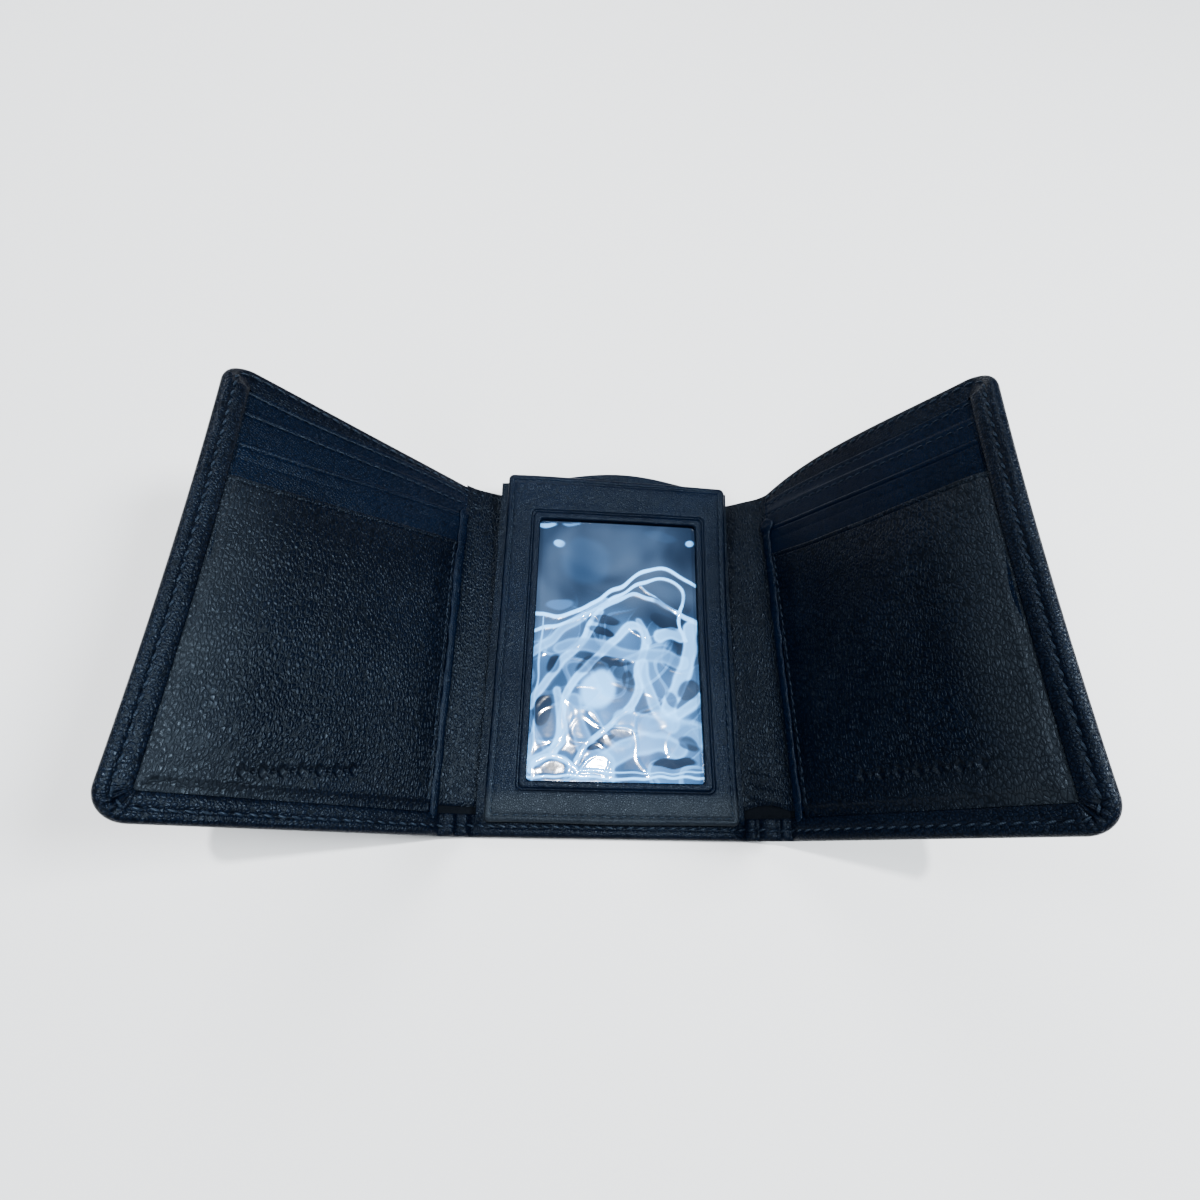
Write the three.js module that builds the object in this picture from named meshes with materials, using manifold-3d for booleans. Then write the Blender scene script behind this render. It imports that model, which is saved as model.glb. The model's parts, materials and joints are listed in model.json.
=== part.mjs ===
// Trifold wallet, lying open on its back. Millimetres: X across the three panels, +Y towards the open top
// of the bill compartment, +Z up. The origin is the centre of the middle panel's underside.
import * as THREE from 'three';
import { mergeVertices } from 'three/addons/utils/BufferGeometryUtils.js';
import Module from 'manifold-3d';

const wasm = await Module();
wasm.setup();

// Driving dimensions
const HEIGHT = 108;                    // bottom seam to open top
const HALF = HEIGHT / 2;
const CORNER = 7;                      // outer corner radius
const SHELL = 1.0;                     // outer leather
const CLOTH = 0.3;                     // bill compartment lining
const PANEL = 0.6;                     // inner leather
const STRIP = 0.5;                     // card slot leather
const GAP = 0.2;                       // air between two sheets
const HEM = 6;                         // width of the turned edge seen inside
const HEM_LEATHER = 0.9;               // turned edge, folded double
const HEM_WALL = 0.8;                  // leather round the edge of the stack
const TOP_HEM = 8;                     // depth of the shell's turned top edge
const NEUTRAL = SHELL / 2;             // fold axes lie in the middle of the shell leather
const FOLD_RELIEF = 0.2;               // shell panels stop this far from a fold axis
const OVER = 1;                        // how far a cutting block runs past what it cuts
const ARC_STEPS = 5;                   // segments in a quarter turn

// Sheet levels above the underside
const LINING_Z = SHELL + GAP;
const PANEL_Z = LINING_Z + CLOTH + GAP;
const STRIP_Z = PANEL_Z + PANEL + GAP;
const POCKET_Z = STRIP_Z + STRIP + GAP;

// The turned edge lies over the inner panels. At the spines it lies lower, level with the gussets.
const PANEL_HEM = { under: STRIP_Z, top: STRIP_Z + HEM_LEATHER, clear: 3.2 };
const SPINE_HEM = { under: PANEL_Z, top: PANEL_Z + PANEL, clear: 2.1 };

// Distance that each layer keeps from a fold axis, so that two neighbours can stand square to each other
const LINING_CLEAR = 1.3;
const GUSSET_CLEAR = 2.1;
const PANEL_CLEAR = 2.2;

// The two sides: fold axis of the middle panel, width of the narrow spine beside it, width of the wing and
// the tilt of each fold at rest. The left wing closes first and the right wing closes over it.
const SIDES = {
  left: { sign: -1, fold: 39.6, spine: 9.4, wing: 74.5, tilt: 21.8 },
  right: { sign: 1, fold: 37.2, spine: 13.6, wing: 73.4, tilt: 29.5 },
};

// Card pockets on the wings
const BINDING = 2.8;                   // strip that covers the pocket edges beside the fold
const PANEL_TOP = 51.5;                // top edge of a wing's inner panel
const PANEL_END = HALF - 0.5;          // top edge of the middle inner wall and the gussets
const SLOT_TOP = { hinge: 42, outer: 34.5 };
const POCKET_TOP = { hinge: 32, outer: 25 };
const POCKET_BOTTOM = -HALF + HEM + GAP;

// Identity card pocket on the middle panel
const ID = { left: -36, right: 35.1, bottom: -51, top: 55.5 };
const ID_BASE_Z = 3.6;
const ID_BACKING = 0.4;
const BACKING_INSET = 1;               // how far the backing ends below the frame's top edge
const VINYL_INSET = 2;                 // the same for the window
const ID_RIM = 4;                      // width of the sewn edge on the left, right and bottom
const WINDOW = { left: -25, right: 25.6, bottom: -39.7, top: 42.5 };
const VINYL = 0.3;
const VINYL_Z = 4.5;
const FRAME_Z = 5.0;
const FRAME_TOP = 6.2;
const WALL_LIFT_Z = 2.8;               // inner wall height at the open top of the bill compartment
const WALL_RISE = 12;                  // length over which it rises from the hem to that height

const LEATHER = { color: 0x10131b, roughness: 0.55, metalness: 0 };
const GRAINED = { color: 0x0d1018, roughness: 0.5, metalness: 0 };
const FABRIC = { color: 0x0b0c10, roughness: 0.9, metalness: 0 };
const CLEAR = { color: 0xaebfd8, roughness: 0.08, metalness: 0, transparent: true, opacity: 0.35 };

function mesh(name, geometry, finish) {
  const piece = new THREE.Mesh(geometry, new THREE.MeshStandardMaterial(finish));
  piece.name = name;
  return piece;
}

function extrude(outline, depth) {
  return new THREE.ExtrudeGeometry(outline, { depth, bevelEnabled: false });
}

// A flat sheet: the outline raised from one level by a thickness
function sheet(outline, bottom, thickness) {
  return extrude(outline, thickness).translate(0, 0, bottom);
}

function polygon(points) {
  return new THREE.Shape(points.map(([x, y]) => new THREE.Vector2(x, y)));
}

function rectangle(left, right, bottom, top) {
  return polygon([[left, bottom], [right, bottom], [right, top], [left, top]]);
}

// A rectangular block between two levels
function block(left, right, bottom, top, low, high) {
  return sheet(rectangle(left, right, bottom, top), low, high - low);
}

function solid(geometry) {
  geometry.deleteAttribute('normal');
  geometry.deleteAttribute('uv');
  const merged = mergeVertices(geometry, 1e-4);
  const vertProperties = new Float32Array(merged.attributes.position.array);
  const triVerts = new Uint32Array(merged.index.array);
  return new wasm.Manifold(new wasm.Mesh({ numProp: 3, vertProperties, triVerts }));
}

function fromSolid(manifold) {
  const result = manifold.getMesh();
  const geometry = new THREE.BufferGeometry();
  geometry.setAttribute('position', new THREE.BufferAttribute(new Float32Array(result.vertProperties), 3));
  geometry.setIndex(new THREE.BufferAttribute(new Uint32Array(result.triVerts), 1));
  geometry.computeVertexNormals();
  return geometry;
}

function carve(body, ...tools) {
  return fromSolid(tools.reduce((rest, tool) => rest.subtract(solid(tool)), solid(body)));
}

// Outline of a wing from start to its rounded outer edge, drawn in by inset on the outer side
function wingOutline(side, start, inset, bottom, top) {
  const edge = side.wing - inset;
  const radius = Math.max(CORNER - inset, 0.8);
  const path = new THREE.Path();
  path.moveTo(start, bottom);
  path.lineTo(edge - radius, bottom);
  path.absarc(edge - radius, bottom + radius, radius, -Math.PI / 2, 0, false);
  path.lineTo(edge, top - radius);
  path.absarc(edge - radius, top - radius, radius, 0, Math.PI / 2, false);
  path.lineTo(start, top);
  return polygon(path.getPoints(ARC_STEPS).map((p) => [side.sign * p.x, p.y]));
}

// A bevelled cut beside a fold axis: the inner half of the leather leans back at 45 degrees
function foldBevel(axis, direction) {
  const run = SHELL - NEUTRAL;
  const inner = axis + direction * (FOLD_RELIEF + run);
  const outer = axis + direction * FOLD_RELIEF;
  const beyond = axis - direction * OVER;
  const above = SHELL + GAP;
  const wedge = [[outer, NEUTRAL], [inner, SHELL], [inner, above], [beyond, above], [beyond, NEUTRAL]];
  return alongY(polygon(wedge), -HALF - OVER, HALF + OVER);
}

// Extrudes an X-Z profile along Y
function alongY(profile, from, to) {
  return extrude(profile, to - from).rotateX(Math.PI / 2).translate(0, to, 0);
}

// What is cut from a full-height block to leave the back leather, its top hem and the turned bottom edge.
// The block's bottom edge is a channel: back, wall and lip, with room for the inner layers between them.
function channelCuts(left, right, hem) {
  const hemStart = HALF - TOP_HEM;
  return [
    block(left, right, -HALF + HEM_WALL, hemStart, SHELL, hem.under),
    block(left, right, hemStart - OVER, HALF + OVER, LINING_Z + CLOTH, hem.under),
    block(left, right, -HALF + HEM, HALF + OVER, hem.under - GAP, hem.top + GAP),
  ];
}

// Clears everything above the back leather beside a fold axis
function hemGap(axis, hem) {
  return block(axis - hem.clear, axis + hem.clear, -HALF - OVER, HALF + OVER, SHELL, hem.top + GAP);
}

// Back leather between two fold axes, used by the middle panel and by both spines
function shellBetweenFolds(left, right, hem) {
  const leather = block(left + FOLD_RELIEF, right - FOLD_RELIEF, -HALF, HALF, 0, hem.top);
  const hemCuts = [...channelCuts(left - OVER, right + OVER, hem), hemGap(left, hem), hemGap(right, hem)];
  return carve(leather, ...hemCuts, foldBevel(left, 1), foldBevel(right, -1));
}

function liningSheet(left, right) {
  return block(left, right, -HALF + HEM_WALL + GAP, HALF - TOP_HEM - GAP, LINING_Z, LINING_Z + CLOTH);
}

// Inner wall of the bill compartment: tucked under the bottom hem and lifted towards the open top
function innerWallMiddle() {
  const tuck = -HALF + HEM_WALL + GAP;
  const hemEdge = -HALF + HEM;
  const lifted = hemEdge + WALL_RISE;
  const under = [[tuck, PANEL_Z], [hemEdge, PANEL_Z], [lifted, WALL_LIFT_Z], [PANEL_END, WALL_LIFT_Z]];
  const over = under.map(([y, z]) => [y, z + PANEL]).reverse();
  const left = -SIDES.left.fold + PANEL_CLEAR;
  const width = SIDES.right.fold - PANEL_CLEAR - left;
  const geometry = extrude(polygon([...under, ...over]), width);
  const [acrossX, alongYAxis, upZ] = [[1, 0, 0], [0, 1, 0], [0, 0, 1]].map((v) => new THREE.Vector3(...v));
  geometry.applyMatrix4(new THREE.Matrix4().makeBasis(alongYAxis, upZ, acrossX));
  return geometry.translate(left, 0, 0);
}

// A sheet inside the identity card pocket
function idSheet(topInset, low, thickness) {
  const margin = ID_RIM + GAP;
  return block(ID.left + margin, ID.right - margin, ID.bottom + margin, ID.top - topInset, low, low + thickness);
}

// Leather frame: a plate with the window cut out, on a rim at the left, right and bottom, open at the top
function idFrame() {
  const plate = block(ID.left, ID.right, ID.bottom, ID.top, ID_BASE_Z, FRAME_TOP);
  const pocket = block(ID.left + ID_RIM, ID.right - ID_RIM, ID.bottom + ID_RIM, ID.top + OVER,
    ID_BASE_Z - OVER, FRAME_Z);
  const view = block(WINDOW.left, WINDOW.right, WINDOW.bottom, WINDOW.top, FRAME_Z - OVER, FRAME_TOP + OVER);
  return carve(plate, pocket, view);
}

function middlePanel() {
  const left = -SIDES.left.fold;
  const right = SIDES.right.fold;
  const group = new THREE.Group();
  group.add(
    mesh('shell_middle', shellBetweenFolds(left, right, PANEL_HEM), LEATHER),
    mesh('bill_lining_middle', liningSheet(left + LINING_CLEAR, right - LINING_CLEAR), FABRIC),
    mesh('inner_wall_middle', innerWallMiddle(), LEATHER),
    mesh('id_backing', idSheet(BACKING_INSET, ID_BASE_Z, ID_BACKING), FABRIC),
    mesh('id_window', idSheet(VINYL_INSET, VINYL_Z, VINYL), CLEAR),
    mesh('id_frame', idFrame(), LEATHER),
  );
  return group;
}

// X range on one side, lowest first, from two distances measured outwards from a fold
function span(side, from, to) {
  return [side.sign * from, side.sign * to].sort((a, b) => a - b);
}

// Narrow spine between the two folds of one side
function spinePanel(name, side) {
  const shellSpan = span(side, 0, side.spine);
  const liningSpan = span(side, LINING_CLEAR, side.spine - LINING_CLEAR);
  const gussetSpan = span(side, GUSSET_CLEAR, side.spine - GUSSET_CLEAR);
  const gusset = block(...gussetSpan, -HALF + HEM + OVER, PANEL_END, PANEL_Z, PANEL_Z + PANEL);
  const group = new THREE.Group();
  group.add(
    mesh(`shell_spine_${name}`, shellBetweenFolds(...shellSpan, SPINE_HEM), LEATHER),
    mesh(`bill_lining_spine_${name}`, liningSheet(...liningSpan), FABRIC),
    mesh(`gusset_${name}`, gusset, GRAINED),
  );
  return group;
}

// Back leather of a wing, with its turned edge along the outer side and the bottom and its hem at the top
function wingShell(side) {
  const { under, top } = PANEL_HEM;
  const past = HALF + 2 * CORNER;
  const leather = solid(sheet(wingOutline(side, FOLD_RELIEF, 0, -HALF, HALF), 0, top));
  const roomOutline = wingOutline(side, -OVER, HEM_WALL, -HALF + HEM_WALL, past);
  const room = solid(sheet(roomOutline, LINING_Z + CLOTH, under - LINING_Z - CLOTH));
  const belowTopHem = solid(block(-HEIGHT, HEIGHT, -HEIGHT, HALF - TOP_HEM, SHELL, under));
  const lowRoom = solid(sheet(roomOutline, SHELL, under - SHELL)).intersect(belowTopHem);
  const view = solid(sheet(wingOutline(side, -OVER, HEM, -HALF + HEM, past), under - GAP, top));
  const foldCuts = solid(hemGap(0, PANEL_HEM)).add(solid(foldBevel(0, side.sign)));
  return fromSolid(leather.subtract(room).subtract(lowRoom).subtract(view).subtract(foldCuts));
}

// A card slot sheet: straight sides and a sloping top edge that runs from the fold to the outer hem
function slotSheet(side, top, bottom, thickness) {
  const inner = PANEL_CLEAR + BINDING + GAP;
  const outer = side.wing - HEM - GAP;
  const outline = polygon([
    [side.sign * inner, POCKET_BOTTOM], [side.sign * outer, POCKET_BOTTOM],
    [side.sign * outer, top.outer], [side.sign * inner, top.hinge],
  ]);
  return sheet(outline, bottom, thickness);
}

function wingPanel(name, side) {
  const inset = HEM_WALL + GAP;
  const lining = wingOutline(side, LINING_CLEAR, inset, -HALF + inset, HALF - TOP_HEM - GAP);
  const panel = wingOutline(side, PANEL_CLEAR, inset, -HALF + inset, PANEL_TOP);
  const bindingSpan = span(side, PANEL_CLEAR, PANEL_CLEAR + BINDING);
  const binding = block(...bindingSpan, POCKET_BOTTOM, SLOT_TOP.hinge, STRIP_Z, POCKET_Z + PANEL);
  const group = new THREE.Group();
  group.add(
    mesh(`shell_wing_${name}`, wingShell(side), LEATHER),
    mesh(`bill_lining_wing_${name}`, sheet(lining, LINING_Z, CLOTH), FABRIC),
    mesh(`inner_panel_${name}`, sheet(panel, PANEL_Z, PANEL), LEATHER),
    mesh(`slot_strip_${name}`, slotSheet(side, SLOT_TOP, STRIP_Z, STRIP), LEATHER),
    mesh(`front_pocket_${name}`, slotSheet(side, POCKET_TOP, POCKET_Z, PANEL), GRAINED),
    mesh(`hinge_binding_${name}`, binding, LEATHER),
  );
  return group;
}

// Hangs a panel on a fold axis, turned up by the fold's tilt at rest
function hang(panel, side, distance) {
  const fold = new THREE.Group();
  fold.position.set(side.sign * distance, 0, 0);
  fold.rotation.y = THREE.MathUtils.degToRad(-side.sign * side.tilt);
  panel.position.z = -NEUTRAL;
  fold.add(panel);
  return fold;
}

const wallet = new THREE.Group();
wallet.add(middlePanel());
for (const [name, side] of Object.entries(SIDES)) {
  const spine = hang(spinePanel(name, side), side, side.fold);
  spine.position.z = NEUTRAL;
  spine.add(hang(wingPanel(name, side), side, side.spine));
  wallet.add(spine);
}

export default wallet;
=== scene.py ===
import json
from collections import namedtuple
from math import ceil, cos, pi, radians, sin

import bmesh
import bpy
import numpy as np
from mathutils import Euler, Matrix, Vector


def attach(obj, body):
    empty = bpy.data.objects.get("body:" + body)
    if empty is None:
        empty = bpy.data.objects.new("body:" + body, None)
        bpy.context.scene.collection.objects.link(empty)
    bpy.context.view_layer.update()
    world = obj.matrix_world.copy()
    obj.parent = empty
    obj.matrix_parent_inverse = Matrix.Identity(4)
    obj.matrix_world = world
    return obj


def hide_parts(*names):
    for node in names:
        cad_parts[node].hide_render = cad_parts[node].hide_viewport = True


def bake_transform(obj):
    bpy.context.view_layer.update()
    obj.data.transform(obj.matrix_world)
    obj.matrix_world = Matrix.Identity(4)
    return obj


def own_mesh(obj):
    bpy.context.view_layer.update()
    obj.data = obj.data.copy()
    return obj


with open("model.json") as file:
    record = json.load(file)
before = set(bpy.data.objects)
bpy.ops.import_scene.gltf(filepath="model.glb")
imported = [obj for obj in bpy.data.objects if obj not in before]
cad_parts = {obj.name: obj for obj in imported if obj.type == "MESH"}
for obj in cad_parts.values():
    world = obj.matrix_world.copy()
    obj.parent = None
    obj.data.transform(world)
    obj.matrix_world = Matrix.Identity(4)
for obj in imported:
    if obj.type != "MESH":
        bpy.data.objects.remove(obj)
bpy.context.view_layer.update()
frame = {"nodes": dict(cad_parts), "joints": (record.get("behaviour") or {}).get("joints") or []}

# Lengths are in millimetres; MM turns them into metres. Every soft piece is laid out flat first: s runs
# across the wallet from the middle line, y along it, and h is the height above the middle of the back
# leather. A Side then bends that layout round its two folds.
MM = 0.001

HALF = 54.8  # half the height of the back leather
NEUTRAL = 0.5  # fold axes above the underside
BACK, BACK_INNER = -0.5, 0.1  # outer and inner face of the back leather
ROLL = 1.2  # depth of the rounded edge
CORNER = 7.0  # outer corner radius
WAIST = 0.9  # how far a wing's outer edge draws in at mid height
HEM_TOP = 2.9  # upper face of the turned bottom hem over the panels
SPINE_HEM_TOP = 1.75  # and where it crosses the spines
TOP_HEM_FACE = 0.95  # upper face of the hem at the open top
HEM_LEATHER = 0.6  # thickness of the turned leather
BEND = 4.2  # half the length of each rounded fold
BLEND_REACH = 4.4  # half the span round a fold worked out in bend; nothing turns a piece over it
STITCH_PITCH = 2.9
PLEATS = 5  # gathered folds in each outer corner of the hem
PLEAT_HEIGHT = 0.36
TOP_BOW = {"left": 0.2, "right": 4.0}  # how far the open top edge bows upwards
TOP_GAPE = {"left": 0.2, "right": 0.35}  # how far the back leather stands off there
POCKET_LEAN = {"left": 0.8, "right": -1.4}  # how far the pockets' hinge edge leans
MARK_COUNT = 13  # lozenges and dots in the pressed border
MARK_DEPTH = 0.45

# Uneven folds of the bottom hem where it crosses each spine: share of the spine, width, height.
PUCKERS = {
    "left": ((0.02, 0.05, -0.9), (0.24, 0.12, 0.75), (0.45, 0.06, -0.45), (0.66, 0.13, 0.9),
             (0.97, 0.06, -0.9)),
    "right": ((0.03, 0.05, -0.9), (0.20, 0.08, 0.3), (0.33, 0.05, -0.7), (0.55, 0.13, 0.45),
              (0.76, 0.05, -0.7), (0.87, 0.06, 0.3), (1.0, 0.05, -0.9)),
}


# ---- layout

def smooth(t):
    t = np.clip(t, 0, 1)
    return t * t * (3 - 2 * t)


def bump(x, centre, width):
    return np.exp(-((x - centre) / width) ** 2)


def rounded(distance, radius=0.3):
    """Height, 0 to 1, of a quarter circle that rises over the first radius of a distance."""
    t = np.clip(distance / radius, 0, 1)
    return np.sqrt(np.clip(t * (2 - t), 0, 1))


def ripple(a, b, seed, wave):
    """Gentle unevenness of about -1 to 1, with waves about as long as wave."""
    rng = np.random.default_rng(seed)
    total = 0
    for _ in range(7):
        angle, phase = rng.uniform(0, 2 * pi), rng.uniform(0, 2 * pi)
        place = a * cos(angle) + b * sin(angle)
        total = total + np.sin(place * 2 * pi / (wave * rng.uniform(0.7, 1.9)) + phase)
    return total / 4.5


class Side:
    """One side of the wallet: its folds, and the bent curve that the back leather follows."""

    def __init__(self, name):
        joints = {j["name"]: j for j in frame["joints"]}
        first, second = joints[f"{name}_fold"], joints[f"{name}_wing_fold"]
        a, b = np.array(first["pos_m"]) / MM, np.array(second["pos_m"]) / MM
        self.name = name
        self.sign = -1 if a[0] < 0 else 1
        self.fold = abs(a[0])
        self.spine = np.linalg.norm(b - a)
        self.tilt = radians(-first["range_deg"][0])
        self.second = self.fold + self.spine
        outward = np.array([self.sign * cos(2 * self.tilt), 0, sin(2 * self.tilt)])
        points = np.array([v.co for v in frame["nodes"][f"shell_wing_{name}"].data.vertices]) / MM
        self.wing = ((points - b) @ outward).max()
        self.split = self.fold + self.spine / 2  # where two pieces meet
        step = 0.1
        self.s = np.arange(0, self.second + self.wing + 12, step)
        turn = sum(np.clip((self.s - f + BEND) / (2 * BEND), 0, 1) for f in (self.fold, self.second))
        self.angle = turn * self.tilt
        self.x = np.hstack([[0], np.cumsum(np.cos(self.angle) * step)[:-1]])
        self.z = np.hstack([[0], np.cumsum(np.sin(self.angle) * step)[:-1]]) + NEUTRAL

    def place(self, flat):
        """Flat (s, y, h) points to their bent place in metres."""
        s, y, h = flat[..., 0], flat[..., 1], flat[..., 2]
        angle = np.interp(s, self.s, self.angle)
        x = np.interp(s, self.s, self.x) - h * np.sin(angle)
        z = np.interp(s, self.s, self.z) + h * np.cos(angle)
        before = np.minimum(s, 0)  # a point across the middle line
        return np.stack([self.sign * (x + before), y, z], axis=-1) * MM

    def body(self, part):
        return f"{part}_{self.name}"


SIDES = (Side("left"), Side("right"))
FIRST, SECOND = 0, 1  # the folds of a side


def flat_middle(flat):
    """Points of the middle panel, (x, y, z), to metres."""
    return flat * MM


# ---- meshes

def placed(name, data):
    obj = bpy.data.objects.new(name, data)
    bpy.context.scene.collection.objects.link(obj)
    return obj


class Surface:
    """Collects grids of points and the faces between them in one mesh."""

    def __init__(self):
        self.points, self.faces, self.count = [], [], 0

    def grid(self, points, wrap=(False, False)):
        n, m = points.shape[:2]
        index = np.arange(n * m).reshape(n, m) + self.count
        self.points.append(points.reshape(-1, 3))
        self.count += n * m
        rows = np.vstack([index, index[:1]]) if wrap[0] else index
        rows = np.hstack([rows, rows[:, :1]]) if wrap[1] else rows
        quads = np.stack([rows[:-1, :-1], rows[1:, :-1], rows[1:, 1:], rows[:-1, 1:]], axis=-1)
        self.faces += quads.reshape(-1, 4).tolist()
        return index

    def tube(self, rings):
        index = self.grid(rings, wrap=(False, True))
        self.faces += [index[0, ::-1].tolist(), index[-1].tolist()]

    def rim(self, a, b):
        self.faces += np.stack([a[:-1], a[1:], b[1:], b[:-1]], axis=-1).tolist()

    def mesh(self, name, material, sharp=50, values=None):
        mesh = bpy.data.meshes.new(name)
        mesh.from_pydata(np.vstack(self.points).tolist(), [], self.faces)
        for key, array in (values or {}).items():
            mesh.attributes.new(key, "FLOAT", "POINT").data.foreach_set("value", array.astype(np.float32))
        bm = bmesh.new()
        bm.from_mesh(mesh)
        bmesh.ops.remove_doubles(bm, verts=bm.verts, dist=1e-6)
        bmesh.ops.recalc_face_normals(bm, faces=bm.faces)
        bm.to_mesh(mesh)
        bm.free()
        mesh.polygons.foreach_set("use_smooth", [True] * len(mesh.polygons))
        mesh.set_sharp_from_angle(angle=radians(sharp))
        mesh.materials.append(material)
        return placed(name, mesh)


ALL = slice(None)
FOUR_SIDES = ((ALL, 0), (ALL, -1), (0, ALL), (-1, ALL))


def close_ends(surface, first, second, picks=FOUR_SIDES):
    """Joins the picked edges of two grids."""
    for pick in picks:
        surface.rim(first[pick], second[pick])


def slab(name, lower, upper, material, looks=()):
    """A closed sheet between two grids of points. looks holds named values for its places."""
    surface = Surface()
    close_ends(surface, surface.grid(lower), surface.grid(upper))
    values = {key: np.tile(array.ravel(), 2) for key, array in dict(looks).items()}
    return surface.mesh(name, material, values=values)


def spaced(start, end, step, fine=(), fine_step=0.32):
    """Grid lines from start to end, closer together inside the fine ranges."""
    marks = sorted({start, end, *(m for r in fine for m in r if start < m < end)})
    lines = [start]
    for a, b in zip(marks[:-1], marks[1:]):
        middle = (a + b) / 2
        pitch = fine_step if any(lo < middle < hi for lo, hi in fine) else step
        lines += list(np.linspace(a, b, max(1, ceil((b - a) / pitch)) + 1)[1:])
    return np.array(lines)


def flat_grid(s, y, h):
    return np.stack(np.broadcast_arrays(s, y, h), axis=-1).astype(float)


STITCH_SWELL = np.array([0.35, 0.9, 1.0, 0.9, 0.35])  # share of its radius, along a stitch
STITCH_DIP = np.array([-0.16, 0.02, 0.1, 0.02, -0.16])  # its ends sink into the leather
STITCH_SIDES = 6


def thread_run(surface, place, path, pitch=STITCH_PITCH, radius=0.23, lean=0.12):
    """Adds stitches along a flat path, each a short plump capsule that leans a little."""
    along = np.hstack([[0], np.cumsum(np.linalg.norm(np.diff(path[:, :2], axis=0), axis=1))])
    count = max(1, int(along[-1] / pitch))
    rings, swell = len(STITCH_SWELL), (STITCH_SWELL * radius)[:, None]
    turn = np.linspace(0, 2 * pi, STITCH_SIDES, endpoint=False)
    for k in range(count):
        centre = (k + 0.5) * along[-1] / count
        t = np.linspace(centre - 0.36 * pitch, centre + 0.36 * pitch, rings)
        line = np.stack([np.interp(t, along, path[:, c]) for c in range(3)], axis=-1)
        heading = line[-1, :2] - line[0, :2]
        across = np.array([-heading[1], heading[0]]) / max(np.linalg.norm(heading), 1e-6)
        line[:, :2] += across * np.linspace(-lean, lean, rings)[:, None]
        line[:, 2] += STITCH_DIP
        sideways = line[:, None, :2] + across * (np.cos(turn)[:, None] * swell[..., None])
        surface.tube(place(np.dstack([sideways, line[:, 2, None] + np.sin(turn) * swell])))


# ---- materials

COOL_SHINE = (0.62, 0.80, 1.0, 1)  # tint of the weak shine on dark leather, cloth and thread
PAINTED_SHEEN_COLOUR = (0.0056, 0.0074, 0.0096)  # pale colour of a painted sheen on leather


class Nodes:
    """A node tree round one Principled shader. A value is a socket or a constant."""

    def __init__(self, name, base, roughness):
        self.material = bpy.data.materials.new(name)
        self.material.use_nodes = True
        self.tree = self.material.node_tree
        self.shader = self.tree.nodes["Principled BSDF"]
        self.shader.inputs["Base Color"].default_value = (*base, 1)
        self.shader.inputs["Roughness"].default_value = roughness
        self.place = self.new("ShaderNodeTexCoord", "Object")

    def feed(self, socket, value):
        if isinstance(value, bpy.types.NodeSocket):
            self.tree.links.new(value, socket)
        else:
            socket.default_value = value

    def new(self, kind, output, *values, **settings):
        """A new node's output. Settings are options and named inputs; values feed its first inputs."""
        node = self.tree.nodes.new(kind)
        for key, value in settings.items():
            if key in node.inputs:
                self.feed(node.inputs[key], value)
            else:
                setattr(node, key, value)
        for socket, value in zip(node.inputs, values):
            self.feed(socket, value)
        return node.outputs[output]

    def noise(self, scale, detail=3, distortion=0.0, output="Fac"):
        return self.new("ShaderNodeTexNoise", output, Vector=self.place, Scale=scale, Detail=detail,
                        Distortion=distortion)

    def cells(self, scale, vector):
        return self.new("ShaderNodeTexVoronoi", "Distance", feature="DISTANCE_TO_EDGE", Vector=vector,
                        Scale=scale)

    def bands(self, direction, scale, **settings):
        return self.new("ShaderNodeTexWave", "Fac", wave_type="BANDS", bands_direction=direction,
                        Vector=self.place, Scale=scale, **settings)

    def attribute(self, name):
        return self.new("ShaderNodeAttribute", "Fac", attribute_name=name)

    def ramp(self, value, low, high, out_low=0.0, out_high=1.0):
        ends = {"From Min": low, "From Max": high, "To Min": out_low, "To Max": out_high}
        return self.new("ShaderNodeMapRange", "Result", interpolation_type="SMOOTHSTEP", Value=value, **ends)

    def math(self, operation, a, b):
        return self.new("ShaderNodeMath", "Value", a, b, operation=operation)

    def mix(self, factor, a, b):
        a, b = ((*c, 1) if isinstance(c, tuple) else c for c in (a, b))
        return self.new("ShaderNodeMix", "Result", data_type="RGBA", Factor=factor, A=a, B=b)

    def bump(self, height, distance, strength=1.0, **under):
        return self.new("ShaderNodeBump", "Normal", Strength=strength, Distance=distance * MM, Height=height,
                        **under)

    def shine(self, level):
        self.shader.inputs["Specular IOR Level"].default_value = level
        self.shader.inputs["Specular Tint"].default_value = COOL_SHINE

    def finish(self, color, normal, roughness=None):
        for socket, value in (("Base Color", color), ("Normal", normal), ("Roughness", roughness)):
            if value is not None:
                self.feed(self.shader.inputs[socket], value)
        return self.material


def warped(n, stretch, grain_mm):
    """Places shifted at random, so that the grain isn't regular."""
    jitter = n.noise(1 / (grain_mm * 2.2 * MM), 2, output="Color")
    offset = n.new("ShaderNodeVectorMath", "Vector", jitter, operation="SCALE", Scale=grain_mm * 0.55 * MM)
    stretched = n.new("ShaderNodeMapping", "Vector", Vector=n.place, Scale=stretch)
    return n.new("ShaderNodeVectorMath", "Vector", stretched, offset, operation="ADD")


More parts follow.
